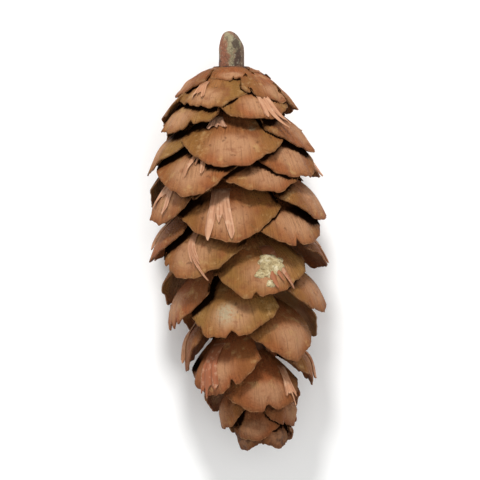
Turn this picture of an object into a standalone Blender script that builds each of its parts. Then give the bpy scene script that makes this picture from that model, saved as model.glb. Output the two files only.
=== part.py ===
"""Douglas fir cone lying on its side, in metres, +Z up.

The stalk end points along +Y and the apex along -Y. A point of the cone is first given by its
station along the straight axis, its radius and its angle round the axis, and is then bent onto
the slightly curved real axis. Angle 0 is the top of the lying cone and grows towards +X.
"""

import math
import random

import bmesh
import bpy
from mathutils import Vector
from mathutils.bvhtree import BVHTree

# The whole cone
CONE_LENGTH = 0.085
FULLEST_RADIUS = 0.0194
FULLEST_STATION = 0.033
BASE_ROUNDNESS = 2.2
BASE_SMALLEST = 0.0030
APEX_RADIUS = 0.0042
APEX_ROUNDNESS = 2.45
AXIS_BEND_RADIUS = 0.470
AXIS_HEIGHT = 0.0182
AXIS_X = -0.0019
BASE_Y = 0.0380

# The spiral of scales: the steps between tips grow to the body's, then the apex's, then crowd
SCALE_COUNT = 60
DIVERGENCE = math.radians(138.15)
TOP_SCALE = 4
FIRST_TIP = 0.0006
BASE_STEP = 0.0006
BODY_STEP = 0.0012
LATE_STEP = 0.0019
CROWDED_FROM = 51
LEAN = 0.0012
SEED = 7

# Where scales of the upper side have grown off the spiral: towards the apex in mm, and round the
# axis in degrees
GROWN_ASIDE = {
    7: (1.5, 3), 12: (-0.5, 3), 14: (-0.7, 0), 15: (3.2, -4), 17: (2.7, 4), 20: (2.2, 1),
    22: (0.7, 0), 25: (-0.7, 3), 27: (-1.2, 0), 28: (1.2, 0), 33: (-1.5, 0), 35: (-1.5, 0),
    38: (0, 3), 40: (0, -9), 43: (-1.0, 0), 46: (-0.7, 0), 53: (-0.5, -8), 56: (-0.5, 2),
    58: (-0.3, 50),
}

# Woody axis inside the cone
CORE_BASE_RADIUS = 0.0046
CORE_TIP_RADIUS = 0.0028
CORE_END = 0.080
CORE_SIDES = 12
CORE_RINGS = 6

# Stalk and the socket that it stands in
STALK_RADIUS = 0.0028
STALK_LENGTH = 0.0078
STALK_SIDES = 16
SOCKET_DEPTH = 0.0020
FIT_GAP = 0.0003

# One scale; it changes over the base and over the apex
BASE_END = 0.022
APEX_START = 0.060
APEX_FULL = 0.074
FULL_REACH = 0.0155
REACH_RISE = 0.0125
APEX_SHORTENING = 0.35
SCALE_THICKNESS = 0.0009
SCALE_RIM_POINTS = 10
ROOT_SINK = 0.0010
WIDTH_TO_RADIUS = 0.68
WRAP_TO_RADIUS = 1.08
SMALLEST_HALF_WIDTH = 0.0004
APEX_WIDENING = 0.0030
WIDEST_SHARE = 0.74
CLAW_WIDTH = 0.28
SWELLING = 0.0005
MARGIN_JITTER = 0.025
OPENING_DEG = 21
BASE_OPENING_DEG = 8
APEX_OPENING_DEG = 12
SLOPE_FOLLOWED = 0.85
SPRING_DEG = 72
BASE_SPRING_DEG = 102
APEX_SPRING_DEG = 52

# Bracts
BRACT_THICKNESS = 0.0006
BRACT_ROOT_SHARE = 0.56
BRACT_ROOT_LIFT = -0.0003
BRACT_TIP_LIFT = 0.0010
BRACT_STATIONS = (0.0040, 0.0730)
BRACT_CHANCE = 0.62
BARE_SCALES = (2, 6, 10, 14, 15, 20, 25, 28, 33, 40, 41, 43, 46)

# The bracts of the upper side, as worn on the real cone: root as a share of the scale's length;
# place across, slant to the tip, length and half width in mm; then the left tooth, the awn and
# the right tooth as shares of the length
UPPER_BRACTS = {
    9: (0.56, -1.4, 0.0, 4.2, 1.7, 1.0, 0.85, 1.05),
    12: (0.58, 1.3, 2.6, 8.4, 2.4, 0.8, 1.2, 1.05),
    17: (0.38, -3.6, 0.0, 4.3, 2.4, 1.0, 0.9, 0.95),
    22: (0.53, 1.6, 0.0, 8.0, 2.4, 1.05, 0.7, 1.0),
    30: (0.56, -1.4, 0.0, 9.8, 3.3, 1.1, 0.75, 1.1),
    35: (0.63, -0.4, 4.4, 8.4, 1.2, 0.75, 1.2, 0.8),
    38: (0.56, 1.8, 1.2, 8.2, 2.5, 1.15, 1.0, 1.2),
    48: (0.56, -1.2, -0.5, 9.0, 3.0, 0.95, 1.05, 0.9),
    51: (0.56, 5.4, 0.5, 6.8, 1.5, 0.75, 1.15, 0.9),
}

GROUND_CUTTER_SIZE = 0.2


def clear_scene():
    for old in list(bpy.data.objects):
        bpy.data.objects.remove(old)


def smooth(x):
    """Eases from 0 to 1 while x goes from 0 to 1."""
    x = min(1.0, max(0.0, x))
    return x * x * (3 - 2 * x)


def envelope_radius(station):
    """Radius of the cone over its scale tips: a domed base and a longer, blunt apex."""
    if station < FULLEST_STATION:
        drop = ((FULLEST_STATION - station) / FULLEST_STATION) ** BASE_ROUNDNESS
        return max(BASE_SMALLEST, FULLEST_RADIUS * math.sqrt(max(0.0, 1 - drop)))
    share = (station - FULLEST_STATION) / (CONE_LENGTH - FULLEST_STATION)
    return FULLEST_RADIUS - (FULLEST_RADIUS - APEX_RADIUS) * share**APEX_ROUNDNESS


def envelope_slope(station):
    """Angle in degrees at which the envelope opens, or closes where it is below 0."""
    step = 0.0008
    rise = envelope_radius(station + step) - envelope_radius(station - step)
    return math.degrees(math.atan2(rise, 2 * step))


def core_radius(station):
    share = min(1.0, max(0.0, station / CORE_END))
    return CORE_BASE_RADIUS + (CORE_TIP_RADIUS - CORE_BASE_RADIUS) * share**1.3


def tip_stations():
    """Stations of the scale tips along the axis, from the base."""
    stations = [FIRST_TIP]
    for n in range(1, SCALE_COUNT):
        step = BASE_STEP + (BODY_STEP - BASE_STEP) * smooth(n / 8)
        step += (LATE_STEP - BODY_STEP) * smooth((n - 8) / 42)
        step *= 1 - 0.7 * smooth((n - CROWDED_FROM) / 8)
        stations.append(stations[-1] + step)
    return stations


def bend(lateral, station, height):
    """Places a point of the straight cone on the curved axis of the lying cone."""
    turn = station / AXIS_BEND_RADIUS
    reach = AXIS_BEND_RADIUS - lateral
    x = AXIS_BEND_RADIUS - reach * math.cos(turn)
    along = reach * math.sin(turn)
    return Vector((AXIS_X + x, BASE_Y - along, AXIS_HEIGHT + height))


class Scale:
    """One seed scale: its place on the spiral and its curved surface."""

    def __init__(self, number, tip_station):
        self.number = number
        rng = random.Random(SEED * 1000 + number)
        advance, turn = GROWN_ASIDE.get(number, (0, 0))
        self.angle = (number - TOP_SCALE) * DIVERGENCE + math.radians(turn)
        lean = LEAN * math.sin(self.angle) * math.sin(math.pi * tip_station / CONE_LENGTH)
        self.tip = tip_station - lean + advance / 1000
        self.tip_radius = envelope_radius(self.tip) * (1 + rng.uniform(-0.02, 0.02))
        reach = FULL_REACH * (1 - math.exp(-((self.tip / REACH_RISE) ** 1.15)))
        to_end = max(0.0, (self.tip - APEX_START) / (CONE_LENGTH - APEX_START))
        self.root = self.tip - reach * (1 - APEX_SHORTENING * to_end**2)
        base_share = 1 - smooth(self.tip / BASE_END)
        apex_share = smooth((self.tip - APEX_START) / (APEX_FULL - APEX_START))
        self.half_width = WIDTH_TO_RADIUS * self.tip_radius + SMALLEST_HALF_WIDTH
        self.half_width += APEX_WIDENING * apex_share
        opening = OPENING_DEG + (BASE_OPENING_DEG - OPENING_DEG) * base_share
        opening += (APEX_OPENING_DEG - OPENING_DEG) * apex_share + rng.uniform(-3, 3)
        flare = SLOPE_FOLLOWED * envelope_slope(self.tip) + opening
        spring = SPRING_DEG + (BASE_SPRING_DEG - SPRING_DEG) * base_share
        spring += (APEX_SPRING_DEG - SPRING_DEG) * apex_share
        self.set_midline(math.radians(flare), math.radians(spring))
        self.margin_jitter = [rng.uniform(-MARGIN_JITTER, MARGIN_JITTER) for _ in range(5)]
        self.set_bract(rng)

    def set_bract(self, rng):
        """Bracts are gone at both ends, from the bare upper scales, and here and there."""
        kept = rng.random() < BRACT_CHANCE and self.number not in BARE_SCALES
        self.has_bract = kept and BRACT_STATIONS[0] < self.tip < BRACT_STATIONS[1]
        left, right = rng.uniform(0.9, 1.2), rng.uniform(0.9, 1.2)
        self.bract_teeth = left, rng.choice((0.9, 1.05, 1.3, 1.5)), right
        size = smooth(self.half_width / 0.011)
        self.bract_root = BRACT_ROOT_SHARE
        self.bract_place = 0.0
        self.bract_slant = rng.uniform(-0.0008, 0.0008)
        self.bract_length = 0.0030 + 0.0055 * size
        self.bract_half_width = 0.0009 + 0.0019 * size
        if self.number in UPPER_BRACTS:
            self.has_bract = True
            self.bract_root = UPPER_BRACTS[self.number][0]
            self.bract_teeth = UPPER_BRACTS[self.number][5:]
            sizes = [millimetres / 1000 for millimetres in UPPER_BRACTS[self.number][1:5]]
            self.bract_place, self.bract_slant, self.bract_length, self.bract_half_width = sizes

    def set_midline(self, flare, spring):
        """Cubic curve from inside the core to the tip, as stations and radii."""
        start = (self.root, core_radius(self.root) - ROOT_SINK)
        end = (self.tip, self.tip_radius)
        chord = math.dist(start, end)
        root_pull = 0.36 * chord
        tip_pull = 0.42 * chord
        self.curve = (
            start,
            (start[0] + root_pull * math.cos(spring), start[1] + root_pull * math.sin(spring)),
            (end[0] - tip_pull * math.cos(flare), end[1] - tip_pull * math.sin(flare)),
            end,
        )
        self.length = 1.12 * chord

    def midline(self, s):
        """Station and radius at share s of the scale's length, and its outward normal there."""
        q = 1 - s
        weights = (q**3, 3 * q * q * s, 3 * q * s * s, s**3)
        slopes = (-3 * q * q, 3 * q * q - 6 * q * s, 6 * q * s - 3 * s * s, 3 * s * s)
        station, radius = (sum(w * p[i] for w, p in zip(weights, self.curve)) for i in (0, 1))
        along, out = (sum(w * p[i] for w, p in zip(slopes, self.curve)) for i in (0, 1))
        size = math.hypot(along, out)
        return station, radius, (-out / size, along / size)

    def place(self, s, across):
        """Point at share s of the length and across metres to the side, on the outer face."""
        station, radius, normal = self.midline(s)
        wrap_radius = WRAP_TO_RADIUS * max(radius, 0.0030)
        angle = self.angle + across / wrap_radius
        radius += across * across / 2 * (WRAP_TO_RADIUS - 1) / wrap_radius
        lift = SWELLING * math.exp(-((across / (0.45 * self.half_width)) ** 2))
        lift *= math.exp(-(((s - 0.75) / 0.16) ** 2))
        station += normal[0] * lift
        radius += normal[1] * lift
        return bend(radius * math.sin(angle), station, radius * math.cos(angle))


def scale_outline(q):
    """Shares of the length and of the half width on the rim: q is 0 at the tip, 1 at the root."""
    side = math.copysign(1, q)
    q = abs(q)
    margin_part, claw_part = 3 / 5, 4 / 5
    if q < margin_part + 0.01:
        across = math.sin(math.pi / 2 * min(1.0, q / margin_part)) ** 0.9
        return 1 - (1 - WIDEST_SHARE) * across**2.1, side * across
    return 0.0, (side * CLAW_WIDTH if q < claw_part + 0.01 else 0.0)


def bract_outline(scale):
    """Corners of a worn bract in lengths and half widths: a strap, two side teeth and an awn."""
    left, awn, right = scale.bract_teeth
    notch = 0.62
    return [
        (0.0, -0.35), (0.25, -0.5), (left, -1.1), (notch, -0.4), (awn, 0.0),
        (notch, 0.4), (right, 1.1), (0.25, 0.5), (0.0, 0.35),
    ]


def collection_named(name):
    collection = bpy.data.collections.new(name)
    bpy.context.scene.collection.children.link(collection)
    return collection


def linked(name, mesh, collection):
    obj = bpy.data.objects.new(name, mesh)
    collection.objects.link(obj)
    return obj


def face_outward(bm, inner_point):
    """Turns an open blade so that its normals look away from the cone's axis."""
    bmesh.ops.recalc_face_normals(bm, faces=bm.faces)
    bm.normal_update()
    outward = sum(
        f.normal.dot(f.calc_center_median() - inner_point) * f.calc_area() for f in bm.faces
    )
    if outward < 0:
        bmesh.ops.reverse_faces(bm, faces=bm.faces)


def thickened(bm, name, thickness, collection):
    """Makes an object of an open blade, whose thickness goes inwards from its outer face."""
    mesh = bpy.data.meshes.new(name)
    bm.to_mesh(mesh)
    bm.free()
    solid = linked(name, mesh, collection).modifiers.new("Thickness", "SOLIDIFY")
    solid.thickness = thickness
    solid.offset = -1


def make_scale(scale, collection):
    """A disc with one inner ring, laid on the scale's curved surface."""
    bm = bmesh.new()
    bmesh.ops.create_circle(bm, cap_ends=True, cap_tris=True, segments=SCALE_RIM_POINTS, radius=1)
    hub = min(bm.verts, key=lambda v: v.co.length)
    bmesh.ops.subdivide_edges(bm, edges=list(hub.link_edges), cuts=1)
    bmesh.ops.triangulate(bm, faces=bm.faces)
    hub_share = 0.62
    half_rim = SCALE_RIM_POINTS / 2
    for v in bm.verts:
        out = v.co.length
        q = round(math.atan2(v.co.x, v.co.y) / math.pi * half_rim) / half_rim
        s, w = scale_outline(q)
        if out > 0.99 and abs(q) < 0.5:
            s += scale.margin_jitter[round(q * half_rim) + 2]
        v.co = scale.place(hub_share + out * (s - hub_share), out * w * scale.half_width)
    face_outward(bm, bend(0, (scale.root + scale.tip) / 2, 0))
    scale.surface = BVHTree.FromBMesh(bm)
    thickened(bm, f"scale_{scale.number:02d}", SCALE_THICKNESS, collection)


def make_bract(scale, collection):
    """A three-pronged bract, rooted in the outer face of its scale and standing off at its tips."""
    bm = bmesh.new()
    bm.faces.new([bm.verts.new((along, across, 0)) for along, across in bract_outline(scale)])
    bmesh.ops.triangulate(bm, faces=bm.faces)
    for v in bm.verts:
        along, across = v.co.x, v.co.y
        s = scale.bract_root + along * scale.bract_length / scale.length
        middle = scale.bract_place + scale.bract_slant * along**2
        on_scale = scale.place(s, middle + across * scale.bract_half_width)
        spot, normal, _, _ = scale.surface.find_nearest(on_scale)
        lift = BRACT_ROOT_LIFT + (BRACT_TIP_LIFT - BRACT_ROOT_LIFT) * smooth(2 * along)
        v.co = spot + lift * normal
    face_outward(bm, bend(0, (scale.root + scale.tip) / 2, 0))
    thickened(bm, f"bract_{scale.number:02d}", BRACT_THICKNESS, collection)


def turned(name, profile, sides, collection):
    """A closed turned solid down the straight axis, from stations and radii, base to apex."""
    mesh = bpy.data.meshes.new(name)
    points = [(radius, 0, -station) for station, radius in profile]
    mesh.from_pydata(points, [(i, i + 1) for i in range(len(points) - 1)], [])
    obj = linked(name, mesh, collection)
    screw = obj.modifiers.new("Turn", "SCREW")
    screw.steps = sides
    screw.render_steps = sides
    screw.use_merge_vertices = True
    screw.merge_threshold = 0.00001
    apply_modifiers(obj)
    for v in obj.data.vertices:
        v.co = bend(v.co.x, -v.co.z, -v.co.y)
    return obj


def apply_modifiers(obj):
    graph = bpy.context.evaluated_depsgraph_get()
    mesh = bpy.data.meshes.new_from_object(obj.evaluated_get(graph))
    obj.modifiers.clear()
    obj.data = mesh


def make_core(collection):
    """The woody axis, with a shallow socket for the stalk in its base."""
    socket_radius = STALK_RADIUS + FIT_GAP
    profile = [(SOCKET_DEPTH, 0), (SOCKET_DEPTH, socket_radius), (0, socket_radius)]
    for k in range(CORE_RINGS):
        station = CORE_END * k / CORE_RINGS
        profile.append((station, core_radius(station)))
    profile += [(CORE_END, 0.6 * CORE_TIP_RADIUS), (CORE_END + 0.001, 0)]
    return turned("cone", profile, CORE_SIDES, collection)


def make_stalk(collection):
    """The stub of stalk, egg-shaped towards the rounded end where it came off the twig."""
    foot = SOCKET_DEPTH - FIT_GAP
    profile = [(-STALK_LENGTH, 0)]
    for height, width in ((0.04, 0.34), (0.18, 0.65), (0.38, 0.86), (0.62, 0.98), (0.80, 1.0)):
        profile.append(((height - 1) * STALK_LENGTH, width * STALK_RADIUS))
    profile += [(foot, STALK_RADIUS), (foot, 0)]
    stalk = turned("stalk", profile, STALK_SIDES, collection)
    stalk.data.shade_smooth()
    return stalk


def keep_main_body(obj):
    """Drops loose scraps and fills sealed hollows: only the largest connected surface stays."""
    bm = bmesh.new()
    bm.from_mesh(obj.data)
    unseen = set(bm.verts)
    largest = set()
    while unseen:
        front = [unseen.pop()]
        island = set(front)
        while front:
            near = {v for edge in front.pop().link_edges for v in edge.verts} & unseen
            unseen -= near
            island |= near
            front.extend(near)
        largest = max(largest, island, key=len)
    bmesh.ops.delete(bm, geom=[v for v in bm.verts if v not in largest], context="VERTS")
    bm.to_mesh(obj.data)
    bm.free()


def unite(core, pieces):
    """Grows all scales and bracts together with the core, in one solid."""
    union = core.modifiers.new("Union", "BOOLEAN")
    union.operation = "UNION"
    union.operand_type = "COLLECTION"
    union.collection = pieces
    union.solver = "MANIFOLD"
    apply_modifiers(core)
    for piece in list(pieces.objects):
        bpy.data.objects.remove(piece)
    bpy.data.collections.remove(pieces)


def flatten_resting_spots(cone, cutters):
    """Cuts the lowest scale tips level with the surface that the cone lies on."""
    depth = -GROUND_CUTTER_SIZE / 2
    bpy.ops.mesh.primitive_cube_add(size=GROUND_CUTTER_SIZE, location=(0, 0, depth))
    cutter = bpy.context.object
    cutter.name = "ground_cutter"
    for old in list(cutter.users_collection):
        old.objects.unlink(cutter)
    cutters.objects.link(cutter)
    cutter.hide_render = True
    cutter.display_type = "WIRE"
    cut = cone.modifiers.new("Flats", "BOOLEAN")
    cut.operation = "DIFFERENCE"
    cut.object = cutter
    cut.solver = "MANIFOLD"
    apply_modifiers(cone)
    keep_main_body(cone)


def set_material(obj, name, colour, roughness):
    material = bpy.data.materials.new(name)
    material.use_nodes = True
    shader = material.node_tree.nodes["Principled BSDF"]
    shader.inputs["Base Color"].default_value = (*colour, 1)
    shader.inputs["Roughness"].default_value = roughness
    shader.inputs["Metallic"].default_value = 0.0
    obj.data.materials.clear()
    obj.data.materials.append(material)


def main():
    clear_scene()
    parts = collection_named("douglas_fir_cone")
    pieces = collection_named("cone_pieces")
    cutters = collection_named("cutters")
    cone = make_core(parts)
    for number, station in enumerate(tip_stations()):
        scale = Scale(number, station)
        make_scale(scale, pieces)
        if scale.has_bract:
            make_bract(scale, pieces)
    unite(cone, pieces)
    flatten_resting_spots(cone, cutters)
    stalk = make_stalk(parts)
    set_material(cone, "scale_wood", (0.34, 0.18, 0.10), 0.75)
    set_material(stalk, "stalk_bark", (0.22, 0.17, 0.13), 0.85)


main()
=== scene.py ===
"""Douglas fir cone on a pale floor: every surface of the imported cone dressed, in metres, +Z up.

A point of the cone is given by its station along the straight axis from the base, its radius and
its angle round the axis, and is then bent onto the slightly curved axis of the lying cone, as in
the part's source. Angle 0 is the top of the lying cone and grows towards +X.
"""

import math
import random

import bpy
import numpy as np
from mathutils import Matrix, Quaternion, Vector
from mathutils.bvhtree import BVHTree


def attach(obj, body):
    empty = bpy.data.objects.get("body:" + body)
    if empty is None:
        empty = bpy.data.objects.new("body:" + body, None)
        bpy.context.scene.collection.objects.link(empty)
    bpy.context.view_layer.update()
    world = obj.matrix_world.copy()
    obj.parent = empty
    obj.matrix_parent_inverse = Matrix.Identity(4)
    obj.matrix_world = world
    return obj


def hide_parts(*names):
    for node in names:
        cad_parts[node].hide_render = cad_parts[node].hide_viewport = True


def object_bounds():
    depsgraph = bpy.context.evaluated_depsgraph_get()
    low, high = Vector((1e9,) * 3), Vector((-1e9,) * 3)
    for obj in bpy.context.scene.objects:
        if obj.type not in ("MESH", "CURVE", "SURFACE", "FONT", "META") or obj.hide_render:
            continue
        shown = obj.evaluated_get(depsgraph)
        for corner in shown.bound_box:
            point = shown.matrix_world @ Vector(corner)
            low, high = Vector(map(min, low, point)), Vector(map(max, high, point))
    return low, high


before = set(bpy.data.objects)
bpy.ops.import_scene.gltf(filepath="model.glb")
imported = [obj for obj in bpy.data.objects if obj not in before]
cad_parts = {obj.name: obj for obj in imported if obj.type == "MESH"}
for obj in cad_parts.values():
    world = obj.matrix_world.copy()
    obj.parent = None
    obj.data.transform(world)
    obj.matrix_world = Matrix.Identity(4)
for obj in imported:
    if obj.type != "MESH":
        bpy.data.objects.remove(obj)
CAD_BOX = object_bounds()

# The whole cone, as in the part's source
CONE_LENGTH = 0.085
FULLEST_RADIUS = 0.0194
FULLEST_STATION = 0.033
BASE_ROUNDNESS = 2.2
BASE_SMALLEST = 0.0030
APEX_RADIUS = 0.0042
APEX_ROUNDNESS = 2.45
AXIS_BEND_RADIUS = 0.470
AXIS_HEIGHT = 0.0182
AXIS_X = -0.0019
BASE_Y = 0.0380

# The spiral of scales
SCALE_COUNT = 60
DIVERGENCE = math.radians(138.15)
TOP_SCALE = 4
FIRST_TIP = 0.0006
BASE_STEP = 0.0006
BODY_STEP = 0.0012
LATE_STEP = 0.0019
CROWDED_FROM = 51
LEAN = 0.0012
SEED = 7

# Where scales of the upper side have grown off the spiral: towards the apex in mm, and round the
# axis in degrees
GROWN_ASIDE = {
    7: (1.5, 3), 12: (-0.5, 3), 14: (-0.7, 0), 15: (3.2, -4), 17: (2.7, 4), 20: (2.2, 1),
    22: (0.7, 0), 25: (-0.7, 3), 27: (-1.2, 0), 28: (1.2, 0), 33: (-1.5, 0), 35: (-1.5, 0),
    38: (0, 3), 40: (0, -9), 43: (-1.0, 0), 46: (-0.7, 0), 53: (-0.5, -8), 56: (-0.5, 2),
    58: (-0.3, 50),
}

# Woody axis and stalk
CORE_BASE_RADIUS = 0.0046
CORE_TIP_RADIUS = 0.0028
CORE_END = 0.080
STALK_RADIUS = 0.0028
STALK_LENGTH = 0.0078
SOCKET_DEPTH = 0.0020
FIT_GAP = 0.0003

# One scale; it changes over the base and over the apex
BASE_END = 0.022
APEX_START = 0.060
APEX_FULL = 0.074
FULL_REACH = 0.0155
REACH_RISE = 0.0125
APEX_SHORTENING = 0.35
ROOT_SINK = 0.0010
WIDTH_TO_RADIUS = 0.68
WRAP_TO_RADIUS = 1.08
SMALLEST_HALF_WIDTH = 0.0004
APEX_WIDENING = 0.0030
WIDEST_SHARE = 0.74
CLAW_WIDTH = 0.28
SWELLING = 0.0005
MARGIN_JITTER = 0.025
OPENING_DEG = 21
BASE_OPENING_DEG = 8
APEX_OPENING_DEG = 12
SLOPE_FOLLOWED = 0.85
SPRING_DEG = 72
BASE_SPRING_DEG = 102
APEX_SPRING_DEG = 52

# Thickness and mesh of the dressed scales
SCALE_THICKNESS = 0.0009
MARGIN_THICKNESS = 0.00028
FULL_HALF_WIDTH = 0.011
SCALE_GRID = (60, 30)
SMOOTH_DEG = 48

# What rests is pressed level this far over the surface below the cone. A blade is levelled before
# it gets its thickness, and scales a little higher than bracts, so that their faces stay apart.
FLOOR_GAP = 0.00002
SCALE_FLOOR_GAP = 0.00005

# Relief of a scale: waves of its face; teeth of its margin as marks across and size in metres;
# lowest and highest depth of the notches torn into it
WAVE_COUNT = 7
WAVE_HEIGHT = 0.00040
MARGIN_TEETH = ((7, 0.0007), (17, 0.00045), (51, 0.00024))
NOTCH_DEPTHS = (0.0008, 0.0026)

# The last scales are aged, fully so after a few millimetres, and their faces are crumbled
AGED_FROM = 0.0765
AGED_OVER = 0.006
CRUMBLE_COUNT = 30
CRUMBLE_HEIGHTS = (-0.0005, 0.0004)

# Painted shade where scales lie over each other: how far the covers of a spot are looked for, in how
# many directions, how much these lean by turns, and from how far off the spot
OCCLUSION_REACH = 0.0045
OCCLUSION_RAYS = 6
OCCLUSION_LEANS = (0.9, 0.3)
OCCLUSION_START = 0.0003

# Bracts
BRACT_ROOT_SHARE = 0.56
BRACT_STATIONS = (0.0040, 0.0730)
BRACT_CHANCE = 0.62
BARE_SCALES = (2, 6, 10, 14, 15, 20, 25, 28, 33, 40, 41, 43, 46)

# Bracts as dressed: thin, with a root that runs on under the scale above, worn and folded
BRACT_PAPER = 0.00022
BRACT_HIDDEN_SHARE = 0.45
BRACT_WEAR = ((9, 0.10), (25, 0.05))
BRACT_FOLD = 0.00022
BRACT_TIP_LIFTS = (0.0003, 0.0009)
BRACT_GRID = (36, 14)
# Past this share of the scale's length a bract by the rule keeps only a part of its own
BRACT_LIMIT = 0.97
BRACT_OVERHANG = 0.1

# The bracts of the upper side, as worn on the real cone: root as a share of the scale's length;
# place across, slant to the tip, length and half width in mm; then the left tooth, the awn and
# the right tooth as shares of the length
UPPER_BRACTS = {
    9: (0.56, -1.4, 0.0, 4.2, 1.7, 1.0, 0.85, 1.05),
    12: (0.58, 1.3, 2.6, 8.4, 2.4, 0.8, 1.2, 1.05),
    17: (0.38, -3.6, 0.0, 4.3, 2.4, 1.0, 0.9, 0.95),
    22: (0.53, 1.6, 0.0, 8.0, 2.4, 1.05, 0.7, 1.0),
    30: (0.56, -1.4, 0.0, 9.8, 3.3, 1.1, 0.75, 1.1),
    35: (0.63, -0.4, 4.4, 8.4, 1.2, 0.75, 1.2, 0.8),
    38: (0.56, 1.8, 1.2, 8.2, 2.5, 1.15, 1.0, 1.2),
    48: (0.56, -1.2, -0.5, 9.0, 3.0, 0.95, 1.05, 0.9),
    51: (0.56, 5.4, 0.5, 6.8, 1.5, 0.75, 1.15, 0.9),
}

# What is seen on single scales of the upper side. Tone: 1 is olive, -1 is red.
UPPER_TONES = {
    4: 0.1, 9: 0.5, 12: 0.0, 14: 0.6, 17: -0.1, 20: -0.2, 22: 0.2, 25: 0.3, 27: -0.3, 30: 0.0,
    33: -0.2, 35: 0.8, 38: 0.6, 40: -0.8, 43: 0.9, 46: -0.3, 48: -0.7, 51: -0.5, 53: -0.5, 56: -0.6,
}
# Tones of the bracts there: 1 is pale, -1 is rusty
BRACT_TONES = {9: 0.3, 12: 0.4, 17: 1.0, 22: 0.3, 30: 0.5, 35: 0.5, 38: -0.7, 48: -1.0, 51: 0.4}
# Share of a bract's length at which it forks: by the rule, and on single scales
BRACT_FORK = 0.56
UPPER_FORKS = {12: 0.52, 22: 0.42, 30: 0.50, 38: 0.42, 48: 0.88, 51: 0.80}
# Torn notches: share across, depth in mm, half width as a share across
SPLITS = {40: ((-0.40, 4.6, 0.13), (0.25, 1.6, 0.10)), 46: ((0.80, 2.2, 0.03),)}
# Pale films: share along, then place across and radius in mm
PALE_SPOTS = {43: (0.745, -1.1, 2.6), 17: (0.56, 4.6, 1.0)}
# Crusts of resin: scale, share along, then place across, half width, half length, thickness in mm
RESIN_CRUSTS = (
    (38, 0.71, 1.4, 3.3, 2.6, 1.0),
    (38, 0.80, -1.7, 1.2, 0.9, 0.5),
    (38, 0.90, 0.0, 0.9, 0.7, 0.4),
)
CRUST_GRID = (36, 36)
CRUST_LUMPS = 40
CRUST_THICKNESS = 0.0002
CRUST_SINK = 0.0002

# Ridges of the woody axis: how many, how steeply they wind, and their share of its radius
RIDGE_COUNT = 5
RIDGE_WINDING = 900
RIDGE_SHARE = 0.05

# The stub of stalk: how it is rounded towards its end, its slanting end and its knobs
STALK_EGG_SHARE = 0.66
STALK_EGG_ROUNDNESS = 2.4
STALK_SLANT = 0.0009
KNOB_COUNT = 18
KNOB_HEIGHTS = (-0.00018, 0.00020)
KNOB_SIZES = (0.0005, 0.0011)

# Groups of scales joined into one piece each: first number, name
SCALE_GROUPS = ((0, "scales_base"), (15, "scales_shoulder"), (30, "scales_waist"), (45, "scales_apex"))

# Camera, floor and light; a lamp's place and size in metres, then its power in watts
CAMERA_HEIGHT = 0.75
PICTURE_WIDTH = 0.1055
FLOOR_SIZE = 3.0
ROOM_LIGHT = 0.55
LAMPS = (
    ("window", (-0.12, 0.98, 0.88), 0.25, 13.0),
    ("overhead", (0.15, -0.1, 1.2), 0.9, 4.5),
)

# Settings of nodes that are used often
COLOURS = {"data_type": "RGBA", "out": 2}
EASED = {"interpolation_type": "SMOOTHSTEP"}


def smooth(x):
    """Eases from 0 to 1 while x goes from 0 to 1."""
    x = np.clip(x, 0.0, 1.0)
    return x * x * (3 - 2 * x)


def envelope_radius(station):
    """Radius of the cone over its scale tips: a domed base and a longer, blunt apex."""
    if station < FULLEST_STATION:
        drop = ((FULLEST_STATION - station) / FULLEST_STATION) ** BASE_ROUNDNESS
        return max(BASE_SMALLEST, FULLEST_RADIUS * math.sqrt(max(0.0, 1 - drop)))
    share = (station - FULLEST_STATION) / (CONE_LENGTH - FULLEST_STATION)
    return FULLEST_RADIUS - (FULLEST_RADIUS - APEX_RADIUS) * share**APEX_ROUNDNESS


def envelope_slope(station):
    """Angle in degrees at which the envelope opens, or closes where it is below 0."""
    step = 0.0008
    rise = envelope_radius(station + step) - envelope_radius(station - step)
    return math.degrees(math.atan2(rise, 2 * step))


def core_radius(station):
    """Radius of the woody axis, which tapers towards the apex."""
    share = np.clip(station / CORE_END, 0.0, 1.0)
    return CORE_BASE_RADIUS + (CORE_TIP_RADIUS - CORE_BASE_RADIUS) * share**1.3


def tip_stations():
    """Stations of the scale tips along the axis, from the base."""
    stations = [FIRST_TIP]
    for n in range(1, SCALE_COUNT):
        step = BASE_STEP + (BODY_STEP - BASE_STEP) * smooth(n / 8)
        step += (LATE_STEP - BODY_STEP) * smooth((n - 8) / 42)
        step *= 1 - 0.7 * smooth((n - CROWDED_FROM) / 8)
        stations.append(stations[-1] + step)
    return stations


def bend(lateral, station, height):
    """Places points of the straight cone on the curved axis of the lying cone."""
    turn = station / AXIS_BEND_RADIUS
    reach = AXIS_BEND_RADIUS - lateral
    x = AXIS_BEND_RADIUS - reach * np.cos(turn)
    along = reach * np.sin(turn)
    return np.stack([AXIS_X + x, BASE_Y - along, AXIS_HEIGHT + height], axis=-1)


def round_axis(station, radius, angle):
    """Places points given by station, radius and angle on the lying cone."""
    return bend(radius * np.sin(angle), station, radius * np.cos(angle))


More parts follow.
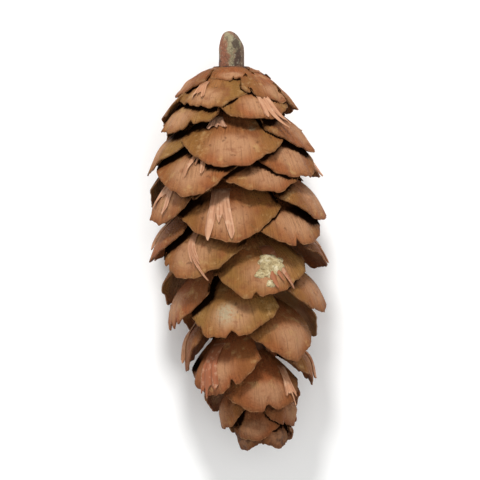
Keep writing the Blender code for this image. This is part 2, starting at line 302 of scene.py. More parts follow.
class Scale:
    """One seed scale: its place on the spiral, its curved surface and the relief of its face."""

    def __init__(self, number, tip_station):
        self.number = number
        rng = random.Random(SEED * 1000 + number)
        advance, turn = GROWN_ASIDE.get(number, (0, 0))
        self.angle = (number - TOP_SCALE) * DIVERGENCE + math.radians(turn)
        lean = LEAN * math.sin(self.angle) * math.sin(math.pi * tip_station / CONE_LENGTH)
        self.tip = tip_station - lean + advance / 1000
        self.tip_radius = envelope_radius(self.tip) * (1 + rng.uniform(-0.02, 0.02))
        reach = FULL_REACH * (1 - math.exp(-((self.tip / REACH_RISE) ** 1.15)))
        to_end = max(0.0, (self.tip - APEX_START) / (CONE_LENGTH - APEX_START))
        self.root = self.tip - reach * (1 - APEX_SHORTENING * to_end**2)
        base_share = 1 - smooth(self.tip / BASE_END)
        apex_share = smooth((self.tip - APEX_START) / (APEX_FULL - APEX_START))
        self.half_width = WIDTH_TO_RADIUS * self.tip_radius + SMALLEST_HALF_WIDTH
        self.half_width += APEX_WIDENING * apex_share
        opening = OPENING_DEG + (BASE_OPENING_DEG - OPENING_DEG) * base_share
        opening += (APEX_OPENING_DEG - OPENING_DEG) * apex_share + rng.uniform(-3, 3)
        flare = SLOPE_FOLLOWED * envelope_slope(self.tip) + opening
        spring = SPRING_DEG + (BASE_SPRING_DEG - SPRING_DEG) * base_share
        spring += (APEX_SPRING_DEG - SPRING_DEG) * apex_share
        self.set_midline(math.radians(flare), math.radians(spring))
        self.margin_jitter = [rng.uniform(-MARGIN_JITTER, MARGIN_JITTER) for _ in range(5)]
        self.set_bract(rng)
        self.size = min(1.0, float(self.half_width) / FULL_HALF_WIDTH)
        self.curl = rng.uniform(-0.0002, 0.0005)
        self.corner_droop = rng.uniform(-0.0006, 0.0002)
        self.waves = [
            (rng.uniform(-1, 1) / k**0.7, rng.uniform(0, 2 * math.pi))
            for k in range(1, WAVE_COUNT + 1)
        ]
        self.skew = rng.uniform(-0.02, 0.02)
        self.tone = UPPER_TONES.get(number, rng.uniform(-1, 1) - 0.5 * apex_share)
        self.aged = rng.uniform(0.0, 0.4) + 0.6 * smooth((self.tip - AGED_FROM) / AGED_OVER)
        self.rng = rng

    def set_bract(self, rng):
        """Bracts are gone at both ends, from the bare upper scales, and here and there."""
        kept = rng.random() < BRACT_CHANCE and self.number not in BARE_SCALES
        self.has_bract = kept and BRACT_STATIONS[0] < self.tip < BRACT_STATIONS[1]
        left, right = rng.uniform(0.9, 1.2), rng.uniform(0.9, 1.2)
        self.bract_teeth = left, rng.choice((0.9, 1.05, 1.3, 1.5)), right
        size = smooth(self.half_width / FULL_HALF_WIDTH)
        self.bract_root = BRACT_ROOT_SHARE
        self.bract_place = 0.0
        self.bract_slant = rng.uniform(-0.0008, 0.0008)
        self.bract_length = 0.0030 + 0.0055 * size
        self.bract_half_width = 0.0009 + 0.0019 * size
        if self.number in UPPER_BRACTS:
            self.has_bract = True
            self.bract_root, *sizes = UPPER_BRACTS[self.number][:5]
            self.bract_teeth = UPPER_BRACTS[self.number][5:]
            sizes = [millimetres / 1000 for millimetres in sizes]
            self.bract_place, self.bract_slant, self.bract_length, self.bract_half_width = sizes

    def set_midline(self, flare, spring):
        """Cubic curve from inside the core to the tip, as stations and radii."""
        start = (self.root, core_radius(self.root) - ROOT_SINK)
        end = (self.tip, self.tip_radius)
        chord = math.dist(start, end)
        root_pull = 0.36 * chord
        tip_pull = 0.42 * chord
        self.curve = (
            start,
            (start[0] + root_pull * math.cos(spring), start[1] + root_pull * math.sin(spring)),
            (end[0] - tip_pull * math.cos(flare), end[1] - tip_pull * math.sin(flare)),
            end,
        )
        self.length = 1.12 * chord

    def midline(self, s):
        """Station and radius at share s of the scale's length, and its outward normal there."""
        q = 1 - s
        weights = (q**3, 3 * q * q * s, 3 * q * s * s, s**3)
        slopes = (-3 * q * q, 3 * q * q - 6 * q * s, 6 * q * s - 3 * s * s, 3 * s * s)
        station, radius = (sum(w * p[i] for w, p in zip(weights, self.curve)) for i in (0, 1))
        along, out = (sum(w * p[i] for w, p in zip(slopes, self.curve)) for i in (0, 1))
        size = np.hypot(along, out)
        return station, radius, (-out / size, along / size)

    def relief(self, w, v):
        """How far the face stands off its smooth form: w is the share across, v the share along."""
        lift = self.curl * v**5 + self.corner_droop * np.abs(w) ** 3 * v
        for k, (height, phase) in enumerate(self.waves, 1):
            lift = lift + WAVE_HEIGHT * height * np.sin(k * math.pi * w + phase) * v**2.5
        return self.size * lift

    def place(self, s, across, lift=0.0):
        """Points at shares s of the length and across metres to the side, lifted off the face."""
        station, radius, normal = self.midline(s)
        wrap_radius = WRAP_TO_RADIUS * np.maximum(radius, 0.0030)
        angle = self.angle + across / wrap_radius
        radius = radius + across * across / 2 * (WRAP_TO_RADIUS - 1) / wrap_radius
        swelling = SWELLING * np.exp(-((across / (0.45 * self.half_width)) ** 2))
        lift = lift + swelling * np.exp(-(((s - 0.75) / 0.16) ** 2))
        station = station + normal[0] * lift
        radius = radius + normal[1] * lift
        return round_axis(station, radius, angle)

    def place_on_face(self, s, across, lift):
        """Points lifted off the face with its relief, for what lies on the scale."""
        v = s
        for _ in range(3):
            w = across / (self.half_width * (CLAW_WIDTH + (1 - CLAW_WIDTH) * np.clip(v, 0, 1)))
            w = np.clip(w, -1, 1)
            v = s / rim_length(w)
        return self.place(s, across, lift + self.relief(w, np.clip(v, 0, 1.05)))


def rim_length(w):
    """Share of the length at which the margin lies, for a share w of the half width."""
    w = np.abs(w)
    return 1 - (1 - WIDEST_SHARE) * w**2.1 - 0.03 * w**8


def uneven(rng, u, marks, size):
    """Seeded unevenness along u from -1 to 1, straight between its marks."""
    heights = [rng.uniform(-size, size) for _ in range(marks)]
    return np.interp(u, np.linspace(-1, 1, marks), heights)


# Nodes and colours


def linear(code, alpha=1.0):
    """A hex sRGB colour as linear numbers."""
    values = []
    for i in (1, 3, 5):
        c = int(code[i:i + 2], 16) / 255
        values.append(c / 12.92 if c <= 0.04045 else ((c + 0.055) / 1.055) ** 2.4)
    return (*values, alpha)


def add_node(tree, kind, links=(), out=0, **settings):
    """Adds a node and returns one output; links pair an input with a value or an output."""
    made = tree.nodes.new(kind)
    for key, value in settings.items():
        setattr(made, key, value)
    for socket, value in links:
        if isinstance(value, bpy.types.NodeSocket):
            tree.links.new(value, made.inputs[socket])
        else:
            made.inputs[socket].default_value = value
    return made.outputs[out]


def empty_material(name):
    """A material with its shader, and the tree to add to."""
    material = bpy.data.materials.new(name)
    material.use_nodes = True
    tree = material.node_tree
    return material, tree, tree.nodes["Principled BSDF"]


def painted(tree, colour, coats):
    """Coats of colour over each other: a pattern, where it starts and is full, strength, colour."""
    for pattern, start, full, strength, code in coats:
        share = add_node(
            tree, "ShaderNodeMapRange",
            ((0, pattern), (1, start), (2, full), (3, 0.0), (4, strength)), **EASED
        )
        links = ((0, share), (6, colour), (7, linear(code)))
        colour = add_node(tree, "ShaderNodeMix", links, **COLOURS)
    return colour


def scale_wood():
    """Weathered outer face of woody cone scales: matt cinnamon brown, fibres fanning to the margin.

    The swollen middle is paler and pinker, partly worn so and partly a painted sheen, the sides are
    more olive, the last scales are aged and crusted, what other scales lie over is darkened as painted
    shade, the edges are darkened as painted shade, and the thin margin is rubbed pale in places.
    """
    material, tree, shader = empty_material("weathered_cone_scale_wood")
    face = add_node(tree, "ShaderNodeTexCoord", out=2)
    spot = add_node(tree, "ShaderNodeTexCoord", out=3)
    tone, boss_wear_and_sheen, occlusion_shade, side, edge, film, aged = (
        add_node(tree, "ShaderNodeAttribute", out=2, attribute_name=name)
        for name in ("tone", "boss_wear_and_sheen", "occlusion_shade", "side", "edge_mm", "film", "aged")
    )

    # Fibres 0.5 and 0.2 mm apart over a scale 24 mm wide, running its whole length
    own = add_node(tree, "ShaderNodeMath", ((0, tone), (1, 17.0)), operation="MULTIPLY")
    own_face = add_node(tree, "ShaderNodeCombineXYZ", ((2, own),))
    shifted = add_node(tree, "ShaderNodeVectorMath", ((0, face), (1, own_face)), operation="ADD")
    wide = add_node(tree, "ShaderNodeMapping", ((0, shifted), ("Scale", (46.0, 3.0, 1.0))))
    fibres = add_node(tree, "ShaderNodeTexNoise", ((0, wide), ("Scale", 1.0), ("Detail", 4.0)))
    narrow = add_node(tree, "ShaderNodeMapping", ((0, shifted), ("Scale", (110.0, 3.5, 1.0))))
    hairs = add_node(tree, "ShaderNodeTexNoise", ((0, narrow), ("Scale", 1.0), ("Detail", 3.0)))

    # Patches of about 8 mm, blotches of 3 mm, stains of 1.5 mm and grains of 0.5 mm
    patch = add_node(tree, "ShaderNodeTexNoise", ((0, spot), ("Scale", 115.0), ("Detail", 2.0)))
    blotch = add_node(
        tree, "ShaderNodeTexNoise",
        ((0, spot), ("Scale", 330.0), ("Detail", 5.0), ("Roughness", 0.62)),
    )
    stain = add_node(tree, "ShaderNodeTexNoise", ((0, spot), ("Scale", 700.0), ("Detail", 4.0)))
    grain = add_node(tree, "ShaderNodeTexNoise", ((0, spot), ("Scale", 2000.0), ("Detail", 3.0)))

    crust = add_node(tree, "ShaderNodeMath", ((0, aged), (1, stain)), operation="MULTIPLY")
    crumbs = add_node(tree, "ShaderNodeMapRange", ((0, grain), (1, 0.20), (2, 0.55)), **EASED)
    pale = add_node(tree, "ShaderNodeMath", ((0, film), (1, crumbs)), operation="MULTIPLY")
    colour = painted(tree, linear("#804c28"), (
        (fibres, 0.38, 0.62, 0.70, "#9b6439"),
        (side, 0.30, 0.85, 0.62, "#7d5924"),
        (tone, 0.0, 1.0, 0.50, "#8a6835"),
        (tone, 0.0, -1.0, 0.60, "#844529"),
        (patch, 0.48, 0.64, 0.50, "#8f4c26"),
        # The paler middle is partly wear and partly a painted sheen
        (boss_wear_and_sheen, 0.08, 0.80, 0.78, "#b08360"),
        (blotch, 0.53, 0.70, 0.55, "#774226"),
        (blotch, 0.45, 0.30, 0.60, "#b08a5a"),
        (hairs, 0.47, 0.32, 0.30, "#5c381f"),
        (stain, 0.62, 0.74, 0.55, "#4a2917"),
        (pale, 0.10, 0.90, 0.45, "#a9ab8e"),
        (aged, 0.0, 1.0, 0.60, "#5f361c"),
        (crust, 0.36, 0.60, 0.70, "#40261a"),
        # Painted shade, darkest where other scales lie over the face
        (occlusion_shade, 0.02, 0.16, 0.65, "#56311a"),
        (occlusion_shade, 0.10, 0.29, 0.97, "#120703"),
        # Painted shade along the edges of the face
        (edge, 0.7, 0.1, 0.45, "#5c3820"),
    ))
    links = ((0, edge), (1, 0.25), (2, 0.05), (3, 0.0), (4, 0.35))
    rubbed = add_node(tree, "ShaderNodeMapRange", links, **EASED)
    patchy = add_node(tree, "ShaderNodeMapRange", ((0, stain), (1, 0.48), (2, 0.62)), **EASED)
    share = add_node(tree, "ShaderNodeMath", ((0, rubbed), (1, patchy)), operation="MULTIPLY")
    links = ((0, share), (6, colour), (7, linear("#ad8259")))
    colour = add_node(tree, "ShaderNodeMix", links, **COLOURS)
    tree.links.new(colour, shader.inputs["Base Color"])
    # What lies in the painted shade has no sheen
    links = ((0, occlusion_shade), (1, 0.03), (2, 0.30), (3, 0.15), (4, 0.0))
    sheen = add_node(tree, "ShaderNodeMapRange", links, **EASED)
    tree.links.new(sheen, shader.inputs["Specular IOR Level"])
    links = ((0, grain), (1, 0.3), (2, 0.7), (3, 0.60), (4, 0.80))
    tree.links.new(add_node(tree, "ShaderNodeMapRange", links, **EASED), shader.inputs["Roughness"])

    heights = add_node(tree, "ShaderNodeMath", ((0, fibres), (1, hairs)), operation="ADD")
    rough = add_node(tree, "ShaderNodeMath", ((0, heights), (1, grain)), operation="ADD")
    links = (("Strength", 0.9), ("Distance", 0.0003), ("Height", rough))
    tree.links.new(add_node(tree, "ShaderNodeBump", links), shader.inputs["Normal"])
    return material


def inner_wood():
    """Inner face and rim of the scales: smooth dark red-brown, darkened in part as painted shade."""
    material, tree, shader = empty_material("inner_scale_wood_with_painted_shade")
    face = add_node(tree, "ShaderNodeTexCoord", out=2)
    wide = add_node(tree, "ShaderNodeMapping", ((0, face), ("Scale", (60.0, 3.0, 1.0))))
    fibres = add_node(tree, "ShaderNodeTexNoise", ((0, wide), ("Scale", 1.0), ("Detail", 3.0)))
    edge = add_node(tree, "ShaderNodeAttribute", out=2, attribute_name="edge_mm")
    colour = painted(tree, linear("#341a0f"), (
        (fibres, 0.35, 0.65, 1.0, "#4d2b1a"),
        (edge, 2.5, 0.2, 0.7, "#633b23"),
    ))
    tree.links.new(colour, shader.inputs["Base Color"])
    shader.inputs["Roughness"].default_value = 0.7
    shader.inputs["Specular IOR Level"].default_value = 0.15
    links = (("Strength", 0.4), ("Distance", 0.0002), ("Height", fibres))
    tree.links.new(add_node(tree, "ShaderNodeBump", links), shader.inputs["Normal"])
    return material


def bract_tissue():
    """Dry papery bracts: pinkish tan to rusty, with lengthwise fibres, darker at the root."""
    material, tree, shader = empty_material("dry_papery_bract")
    face = add_node(tree, "ShaderNodeTexCoord", out=2)
    spot = add_node(tree, "ShaderNodeTexCoord", out=3)
    tone = add_node(tree, "ShaderNodeAttribute", out=2, attribute_name="tone")
    bare = add_node(tree, "ShaderNodeAttribute", out=2, attribute_name="bare")
    wide = add_node(tree, "ShaderNodeMapping", ((0, face), ("Scale", (16.0, 1.5, 1.0))))
    fibres = add_node(tree, "ShaderNodeTexNoise", ((0, wide), ("Scale", 1.0), ("Detail", 4.0)))
    # Worn spots of 1.5 mm
    worn = add_node(tree, "ShaderNodeTexNoise", ((0, spot), ("Scale", 650.0), ("Detail", 3.0)))
    colour = painted(tree, linear("#b07d58"), (
        (tone, 0.0, 1.0, 0.8, "#c6987c"),
        (tone, 0.0, -1.0, 0.8, "#8c4727"),
        (bare, 0.30, -0.20, 0.6, "#7d4b2b"),
        (fibres, 0.52, 0.36, 0.6, "#87553a"),
        (worn, 0.50, 0.68, 0.4, "#cfab8c"),
    ))
    tree.links.new(colour, shader.inputs["Base Color"])
    shader.inputs["Roughness"].default_value = 0.65
    shader.inputs["Specular IOR Level"].default_value = 0.3
    links = (("Strength", 0.7), ("Distance", 0.00018), ("Height", fibres))
    tree.links.new(add_node(tree, "ShaderNodeBump", links), shader.inputs["Normal"])
    return material


def stalk_bark():
    """Weathered twig bark: grey-brown and greenish grey, rusty on one side, with pale flecks."""
    material, tree, shader = empty_material("weathered_twig_bark")
    spot = add_node(tree, "ShaderNodeTexCoord", out=3)
    side = add_node(tree, "ShaderNodeAttribute", out=2, attribute_name="tone")
    # Lichen and dark patches of 3 to 4 mm, cracks 1 mm apart, flecks of 0.4 to 0.8 mm
    higher = add_node(tree, "ShaderNodeMapping", ((0, spot), ("Location", (0.0, 0.0034, 0.0))))
    lichen = add_node(tree, "ShaderNodeTexNoise", ((0, higher), ("Scale", 280.0), ("Detail", 3.0)))
    shifted = add_node(tree, "ShaderNodeMapping", ((0, spot), ("Location", (0.0024, 0.0016, 0.0))))
    patch = add_node(tree, "ShaderNodeTexNoise", ((0, shifted), ("Scale", 280.0), ("Detail", 3.0)))
    cracks = add_node(
        tree, "ShaderNodeTexVoronoi", ((0, spot), ("Scale", 900.0)), feature="DISTANCE_TO_EDGE"
    )
    flecks = add_node(
        tree, "ShaderNodeTexNoise",
        ((0, spot), ("Scale", 1300.0), ("Detail", 4.0), ("Roughness", 0.65)),
    )
    colour = painted(tree, linear("#6d5440"), (
        (side, 0.1, 0.9, 0.85, "#8a5238"),
        (lichen, 0.54, 0.66, 0.70, "#8d8a6a"),
        (patch, 0.47, 0.39, 0.85, "#3a271d"),
        (cracks, 0.09, 0.0, 0.50, "#382a20"),
        (flecks, 0.56, 0.72, 0.60, "#b0a88e"),
        (flecks, 0.42, 0.30, 0.60, "#3a2b22"),
    ))
    tree.links.new(colour, shader.inputs["Base Color"])
    shader.inputs["Roughness"].default_value = 0.8
    height = add_node(tree, "ShaderNodeMath", ((0, cracks), (1, flecks)), operation="ADD")
    links = (("Strength", 0.6), ("Distance", 0.0002), ("Height", height))
    tree.links.new(add_node(tree, "ShaderNodeBump", links), shader.inputs["Normal"])
    return material


def dried_resin():
    """Dried resin with lichen on it: a whitish, crumbly crust with olive and brown specks."""
    material, tree, shader = empty_material("dried_conifer_resin")
    spot = add_node(tree, "ShaderNodeTexCoord", out=3)
    # Lumps of 1 mm and specks of 0.4 mm
    lumps = add_node(tree, "ShaderNodeTexNoise", ((0, spot), ("Scale", 1000.0), ("Detail", 4.0)))
    specks = add_node(tree, "ShaderNodeTexNoise", ((0, spot), ("Scale", 2600.0), ("Detail", 2.0)))
    colour = painted(tree, linear("#b4a278"), (
        (lumps, 0.50, 0.36, 0.7, "#90794f"),
        (lumps, 0.54, 0.66, 0.8, "#cfc2a0"),
        (specks, 0.44, 0.32, 0.6, "#705c3a"),
    ))
    tree.links.new(colour, shader.inputs["Base Color"])
    shader.inputs["Roughness"].default_value = 0.7
    height = add_node(tree, "ShaderNodeMath", ((0, lumps), (1, specks)), operation="ADD")
    links = (("Strength", 0.9), ("Distance", 0.0003), ("Height", height))
    tree.links.new(add_node(tree, "ShaderNodeBump", links), shader.inputs["Normal"])
    return material


def core_wood():
    """The woody axis deep between the scales: rough and dark brown."""
    material, tree, shader = empty_material("cone_axis_wood")
    spot = add_node(tree, "ShaderNodeTexCoord", out=3)
    rough = add_node(tree, "ShaderNodeTexNoise", ((0, spot), ("Scale", 700.0), ("Detail", 4.0)))
    colour = painted(tree, linear("#3a2114"), ((rough, 0.35, 0.65, 1.0, "#6a4329"),))
    tree.links.new(colour, shader.inputs["Base Color"])
    shader.inputs["Roughness"].default_value = 0.85
    links = (("Strength", 0.7), ("Distance", 0.0004), ("Height", rough))
    tree.links.new(add_node(tree, "ShaderNodeBump", links), shader.inputs["Normal"])
    return material


# Meshes


def get_points(obj):
    """A mesh's points as rows of x, y and z."""
    points = np.empty(len(obj.data.vertices) * 3)
    obj.data.vertices.foreach_get("co", points)
    return points.reshape(-1, 3)


def set_points(obj, points):
    """Moves a mesh's vertices to new points, in the order of get_points."""
    obj.data.vertices.foreach_set("co", np.ascontiguousarray(points, dtype=float).ravel())
    obj.data.update()


def set_values(obj, name, values):
    """Stores one number for each vertex, for a material to read."""
    attribute = obj.data.attributes.new(name, "FLOAT", "POINT")
    attribute.data.foreach_set("value", np.ascontiguousarray(values, dtype=np.float32))


def select_only(*objects):
    """Selects these objects and no others, with the first as the active one."""
    bpy.ops.object.select_all(action="DESELECT")
    for obj in objects:
        obj.select_set(True)
    bpy.context.view_layer.objects.active = objects[0]


def grid_template(name, grid):
    """A flat grid from -1 to 1 both ways, of so many columns and rows, to be copied and shaped."""
    bpy.ops.mesh.primitive_grid_add(x_subdivisions=grid[0], y_subdivisions=grid[1], size=2)
    obj = bpy.context.object
    obj.name = name
    return obj


def copy_of(template, name):
    """A new object with its own copy of the template's mesh."""
    obj = bpy.data.objects.new(name, template.data.copy())
    bpy.context.scene.collection.objects.link(obj)
    return obj


def joined(objects, name):
    """Joins objects into one piece and names it."""
    select_only(*objects)
    if len(objects) > 1:
        bpy.ops.object.join()
    obj = bpy.context.object
    obj.name = name
    obj.data.name = name
    return obj


def levelled(points, gap):
    """Presses level what would go below the surface that the cone rests on."""
    return np.column_stack([points[:, :2], np.maximum(points[:, 2], gap)])


def thicken(obj, thickness, thinnest_share):
    """Gives a blade its thickness inwards: full where the group's weight is 1."""
    select_only(obj)
    bpy.ops.object.modifier_add(type="SOLIDIFY")
    solid = obj.modifiers[-1]
    solid.thickness = thickness
    solid.offset = -1
    solid.vertex_group = "thick"
    solid.thickness_vertex_group = thinnest_share
    solid.material_offset = 1
    # The rims take the dark inner material, as a painted shade line along the margins
    solid.material_offset_rim = 1
    bpy.ops.object.modifier_apply(modifier=solid.name)


def set_thick_group(obj, weights):
    """Stores where a blade is to be thick, for thicken to read."""
    group = obj.vertex_groups.new(name="thick")
    for i, weight in enumerate(weights):
        group.add([i], float(weight), "REPLACE")


def dress(obj, slot, node, *materials):
    """Levels what rests, gives the piece its materials and ties it to the frame."""
    set_points(obj, levelled(get_points(obj), FLOOR_GAP))
    obj.data.materials.clear()
    for material in materials:
        obj.data.materials.append(material)
    select_only(obj)
    bpy.ops.object.shade_smooth_by_angle(angle=math.radians(SMOOTH_DEG))
    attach(obj, "root")
    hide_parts(node)


# Pieces of the cone


def shape_scale(obj, scale):
    """Bends the flat grid into one scale with a fan of fibres, a wavy face and a ragged margin."""
    rng = scale.rng
    flat = get_points(obj)
    u = -flat[:, 0]
    v = (flat[:, 1] + 1) / 2
    v = 1 - (1 - v) ** 1.25
    w = np.sign(u) * np.abs(np.sin(u * math.pi / 2)) ** 0.9
    across = w * (CLAW_WIDTH + (1 - CLAW_WIDTH) * v) * scale.half_width
    along = v * rim_length(w)

    jitter = np.concatenate([[0.0], scale.margin_jitter, [0.0]])
    along = along + np.interp(w, (-1, -0.88, -0.54, 0, 0.54, 0.88, 1), jitter) * v**3
    torn = sum(uneven(rng, u, marks, size) for marks, size in MARGIN_TEETH)
    for _ in range(rng.choice((0, 0, 1, 1, 2))):
        spot, depth = rng.uniform(-0.75, 0.75), rng.uniform(*NOTCH_DEPTHS)
        torn = torn - depth * np.maximum(0.0, 1 - np.abs(u - spot) / rng.uniform(0.03, 0.07))
    for at, depth, half_width in SPLITS.get(scale.number, ()):
        torn = torn - depth / 1000 * np.maximum(0.0, 1 - np.abs(w - at) / half_width)
    along = along + scale.size * torn / scale.length * v**8
    along = along + scale.skew * u * v * v
    lift = scale.relief(w, v)
    if scale.tip > AGED_FROM:
        for _ in range(CRUMBLE_COUNT):
            spot, share, width = rng.uniform(-1, 1), rng.uniform(0.45, 1), rng.uniform(0.08, 0.20)
            near = np.hypot(w - spot, (v - share) / 0.7) / width
            lift = lift + rng.uniform(*CRUMBLE_HEIGHTS) * np.exp(-near * near)
    set_points(obj, levelled(scale.place(along, across, lift), SCALE_FLOOR_GAP))

    set_values(obj, "tone", np.full(len(u), scale.tone))
    set_values(obj, "aged", np.full(len(u), scale.aged))
    set_values(obj, "side", np.abs(w))
    at, place, radius = PALE_SPOTS.get(scale.number, (0.0, 0.0, 0.001))
    away = np.hypot((along - at) * scale.length, across - place / 1000)
    set_values(obj, "film", np.exp(-((1000 * away / radius) ** 2)))
    set_values(obj, "boss_wear_and_sheen", np.exp(-((w / 0.50) ** 2)) * np.exp(-(((v - 0.80) / 0.15) ** 2)))
    to_margin = (1 - v) * rim_length(w) * scale.length
    to_side = (1 - np.abs(u)) * scale.half_width
    set_values(obj, "edge_mm", 1000 * np.minimum(to_margin, to_side))
    set_thick_group(obj, 1 - np.maximum(v**4, np.abs(u) ** 4 * v))


def set_occlusion_shade(objects):
    """Stores, for the painted shade, how much each spot of the outer faces lies hidden under the
    scales over it.
    """
    points, faces = [], []
    for obj in objects:
        first = len(points)
        points.extend(v.co.copy() for v in obj.data.vertices)
        faces.extend([first + i for i in face.vertices] for face in obj.data.polygons)
    tree = BVHTree.FromPolygons(points, faces)
    for obj in objects:
        occlusion_shade = []
        for v in obj.data.vertices:
            normal = v.normal
            aside = normal.orthogonal().normalized()
            start = v.co + OCCLUSION_START * normal
            blocked = 0.0
            for k in range(OCCLUSION_RAYS):
                turn = Quaternion(normal, 2 * math.pi * k / OCCLUSION_RAYS)
                ray = (normal + OCCLUSION_LEANS[k % 2] * (turn @ aside)).normalized()
                distance = tree.ray_cast(start, ray, OCCLUSION_REACH)[3]
                if distance is not None:
                    blocked += 1 - distance / OCCLUSION_REACH
            occlusion_shade.append(blocked / OCCLUSION_RAYS)
        set_values(obj, "occlusion_shade", occlusion_shade)


def make_scales(scales):
    """Shapes all scales, stores how they lie over each other for the painted shade, and joins them in
    groups.
    """
    template = grid_template("scale_template", SCALE_GRID)
    outer, inner = scale_wood(), inner_wood()
    shaped = []
    for scale in scales:
        shaped.append(copy_of(template, f"scale_{scale.number:02d}"))
        shape_scale(shaped[-1], scale)
    set_occlusion_shade(shaped)
    for k, (first, name) in enumerate(SCALE_GROUPS):
        last = SCALE_GROUPS[k + 1][0] if k + 1 < len(SCALE_GROUPS) else SCALE_COUNT
        group = joined(shaped[first:last], name)
        thicken(group, SCALE_THICKNESS, MARGIN_THICKNESS / SCALE_THICKNESS)
        dress(group, "scale_wood", "cone", outer, inner)
    bpy.data.objects.remove(template)


def shape_bract(obj, scale):
    """A worn three-toothed bract: one papery blade whose end runs out in teeth, awn and shreds."""
    rng = scale.rng
    left, awn, right = scale.bract_teeth
    if scale.number not in UPPER_BRACTS:
        left, awn, right = (tooth * rng.choice((0.65, 0.9, 1.0)) for tooth in (left, awn, right))
    flat = get_points(obj)
    u = -flat[:, 0]
    t = (flat[:, 1] + 1) / 2
    end = UPPER_FORKS.get(scale.number, BRACT_FORK)
    for marks, size in BRACT_WEAR:
        end = end + uneven(rng, u, marks, size)
    for at, tooth, width in ((-0.74, left, 0.44), (0.0, awn, 0.30), (0.76, right, 0.44)):
        away = np.abs(u - at - rng.uniform(-0.06, 0.06)) / width
        end = np.maximum(end, tooth * (1 - 0.45 * away**1.5) - 0.9 * (away > 1))
    along = t * (end + BRACT_HIDDEN_SHARE) - BRACT_HIDDEN_SHARE
    across = u * scale.bract_half_width * (0.66 + 0.44 * smooth(along / 1.1))
    across = across + scale.bract_place + scale.bract_slant * np.maximum(along, 0) ** 2
    fold = BRACT_FOLD * np.cos(3 * math.pi * u + rng.uniform(-1, 1)) * smooth(along / 0.4)
    tip_lift = rng.uniform(*BRACT_TIP_LIFTS)
    lift = 0.00050 * smooth(t / 0.20) - 0.00010 + tip_lift * np.maximum(0.0, along - 0.5) ** 1.5
    s = scale.bract_root + along * scale.bract_length / scale.length
    if scale.number not in UPPER_BRACTS:
        s = np.where(s > BRACT_LIMIT, BRACT_LIMIT + BRACT_OVERHANG * (s - BRACT_LIMIT), s)
    set_points(obj, levelled(scale.place_on_face(s, across, lift + fold), FLOOR_GAP))
    set_values(obj, "tone", np.full(len(u), BRACT_TONES.get(scale.number, rng.uniform(-1, 1))))
    set_values(obj, "bare", along)
    set_thick_group(obj, np.ones(len(u)))


def make_bracts(scales):
    """Lays the bracts on the scales that kept them, as one piece."""
    template = grid_template("bract_template", BRACT_GRID)
    made = []
    for scale in scales:
        if scale.has_bract:
            made.append(copy_of(template, f"bract_{scale.number:02d}"))
            shape_bract(made[-1], scale)
    bracts = joined(made, "bracts")
    tissue = bract_tissue()
    thicken(bracts, BRACT_PAPER, 1.0)
    dress(bracts, "scale_wood", "cone", tissue, tissue)
    bpy.data.objects.remove(template)


def make_resin(scales):
    """Crumbly crusts of dried resin, with their rims sunk into the scales that they lie on."""
    template = grid_template("resin_template", CRUST_GRID)
    made = []
    for number, share, place, half_width, half_length, thickness in RESIN_CRUSTS:
        obj = copy_of(template, "crust")
        rng = random.Random(SEED + len(made))
        flat = get_points(obj)
        # The square grid is rounded to a disk
        x = flat[:, 0] * np.sqrt(1 - flat[:, 1] ** 2 / 2)
        y = flat[:, 1] * np.sqrt(1 - flat[:, 0] ** 2 / 2)
        turn = np.arctan2(y, x)
        height = np.sqrt(np.maximum(0.0, 1 - x * x - y * y))
        for _ in range(CRUST_LUMPS):
            near = np.hypot(x - rng.uniform(-1, 1), y - rng.uniform(-1, 1)) / rng.uniform(0.12, 0.3)
            height = height + rng.uniform(-0.35, 0.45) * np.exp(-near * near) * (height > 0.05)
        rim = 1.0
        for waves in (2, 3, 5, 8):
            rim = rim + rng.uniform(0.05, 0.13) * np.sin(waves * turn + rng.uniform(0, 2 * math.pi))
        scale = scales[number]
        s = share + y * rim * half_length / 1000 / scale.length
        across = (place + x * rim * half_width) / 1000
        lift = thickness / 1000 * height - CRUST_SINK
        set_points(obj, scale.place_on_face(s, across, lift))
        set_thick_group(obj, np.ones(len(x)))
        made.append(obj)
    crust = joined(made, "resin_crusts")
    resin = dried_resin()
    thicken(crust, CRUST_THICKNESS, 1.0)
    dress(crust, "scale_wood", "cone", resin, resin)
    bpy.data.objects.remove(template)


def turned_piece(name, profile, segments, rings):
    """A sphere to be reshaped, with each point's station and radius on a profile, and angle."""
    bpy.ops.mesh.primitive_uv_sphere_add(segments=segments, ring_count=rings, radius=1)
    obj = bpy.context.object
    obj.name = name
    flat = get_points(obj)
    share = np.arccos(np.clip(flat[:, 2], -1, 1)) / math.pi
    angle = np.arctan2(flat[:, 0], flat[:, 1])
    steps = [math.dist(a, b) for a, b in zip(profile, profile[1:])]
    run = np.concatenate([[0.0], np.cumsum(steps)]) / sum(steps)
    station = np.interp(share, run, [p[0] for p in profile])
    radius = np.interp(share, run, [p[1] for p in profile])
    return obj, station, radius, angle


def make_core():
    """The woody axis, with the socket for the stalk."""
    socket = STALK_RADIUS + FIT_GAP
    profile = [(SOCKET_DEPTH, 0.0), (SOCKET_DEPTH, socket), (0.0, socket)]
    for k in range(13):
        station = CORE_END * k / 12
        profile.append((station, float(core_radius(station))))
    profile.append((CORE_END + 0.001, 0.0))
    obj, station, radius, angle = turned_piece("cone_axis", profile, 32, 60)
    ridges = RIDGE_SHARE * np.sin(RIDGE_COUNT * angle + RIDGE_WINDING * station)
    ridges = 1 + ridges * (radius > 0.9 * CORE_TIP_RADIUS)
    radius = radius * np.where(station > 0.001, ridges, 1.0)
    set_points(obj, round_axis(station, radius, angle))
    dress(obj, "scale_wood", "cone", core_wood())


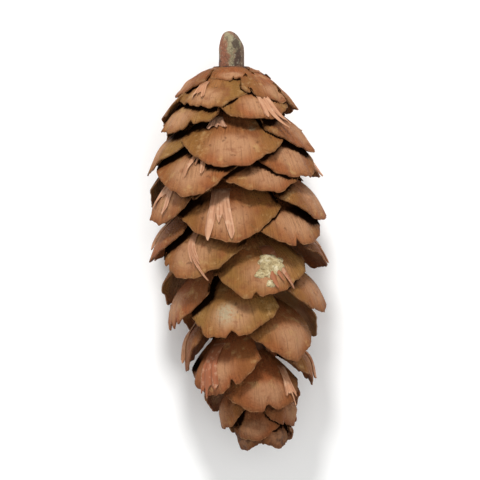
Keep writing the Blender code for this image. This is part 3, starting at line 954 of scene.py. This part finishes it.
def make_stalk():
    """The stub of stalk: egg-shaped and a little knobbly, with a rounded slanting end."""
    foot = SOCKET_DEPTH - FIT_GAP
    profile = [(-STALK_LENGTH, 0.0)]
    for k in range(1, 13):
        height = (k / 12) ** 1.7
        to_end = 1 - min(1.0, height / STALK_EGG_SHARE)
        width = math.sqrt(1 - to_end**STALK_EGG_ROUNDNESS)
        profile.append(((height - 1) * STALK_LENGTH, width * STALK_RADIUS))
    profile += [(foot, STALK_RADIUS), (foot, 0.0)]
    obj, station, radius, angle = turned_piece("stalk_stub", profile, 48, 60)
    rng = random.Random(SEED)
    free = smooth((-station - 0.0003) / 0.001)
    knobs = np.zeros_like(station)
    for _ in range(KNOB_COUNT):
        at, round_at = rng.uniform(-STALK_LENGTH, 0), rng.uniform(-math.pi, math.pi)
        away = np.abs((angle - round_at + math.pi) % (2 * math.pi) - math.pi) * STALK_RADIUS
        near = np.exp(-((station - at) ** 2 + away**2) / rng.uniform(*KNOB_SIZES) ** 2)
        knobs += rng.uniform(*KNOB_HEIGHTS) * near
    radius = radius + knobs * free * np.minimum(1.0, radius / (0.5 * STALK_RADIUS))
    outer_half = smooth((-station - 0.5 * STALK_LENGTH) / 0.003)
    station = station + STALK_SLANT * np.sin(angle) * (radius / STALK_RADIUS) * outer_half
    set_points(obj, round_axis(station, radius, angle))
    set_values(obj, "tone", 0.5 - 0.5 * np.sin(angle))
    dress(obj, "stalk_bark", "stalk", stalk_bark())


# Light, floor and camera


def make_camera():
    """Looks straight down on the middle of the cone."""
    camera = bpy.data.objects.new("camera", bpy.data.cameras.new("camera"))
    bpy.context.scene.collection.objects.link(camera)
    low, high = (Vector(corner) for corner in CAD_BOX)
    centre = (low + high) / 2
    camera.location = (centre.x, centre.y, centre.z + CAMERA_HEIGHT)
    camera.data.lens = camera.data.sensor_width * CAMERA_HEIGHT / PICTURE_WIDTH
    camera.data.clip_start = 0.01
    bpy.context.scene.camera = camera


def make_floor():
    """The white surface that the cone rests on, not a part of it."""
    bpy.ops.mesh.primitive_plane_add(size=FLOOR_SIZE, location=(0, 0, 0))
    floor = bpy.context.object
    floor.name = "floor"
    # Plain white paper without a visible grain
    material, _, shader = empty_material("matt_white_paper")
    shader.inputs["Base Color"].default_value = linear("#fbfbfa")
    shader.inputs["Roughness"].default_value = 0.9
    floor.data.materials.append(material)


def area_light(name, place, size, power):
    """A round lamp that faces the cone."""
    light = bpy.data.objects.new(name, bpy.data.lights.new(name, "AREA"))
    bpy.context.scene.collection.objects.link(light)
    light.data.shape = "DISK"
    light.data.size = size
    light.data.energy = power
    light.location = place
    light.rotation_euler = (-Vector(place)).to_track_quat("-Z", "Y").to_euler()


def make_lights():
    """An even white room, with a window beyond the stalk and a broad lamp overhead."""
    world = bpy.data.worlds.new("soft_white_room")
    bpy.context.scene.world = world
    world.use_nodes = True
    background = world.node_tree.nodes["Background"]
    background.inputs[0].default_value = linear("#ffffff")
    background.inputs[1].default_value = ROOM_LIGHT
    for lamp in LAMPS:
        area_light(*lamp)
    bpy.context.scene.view_settings.view_transform = "Standard"


def main():
    make_camera()
    make_floor()
    make_lights()
    scales = [Scale(number, station) for number, station in enumerate(tip_stations())]
    make_core()
    make_scales(scales)
    make_bracts(scales)
    make_resin(scales)
    make_stalk()


main()
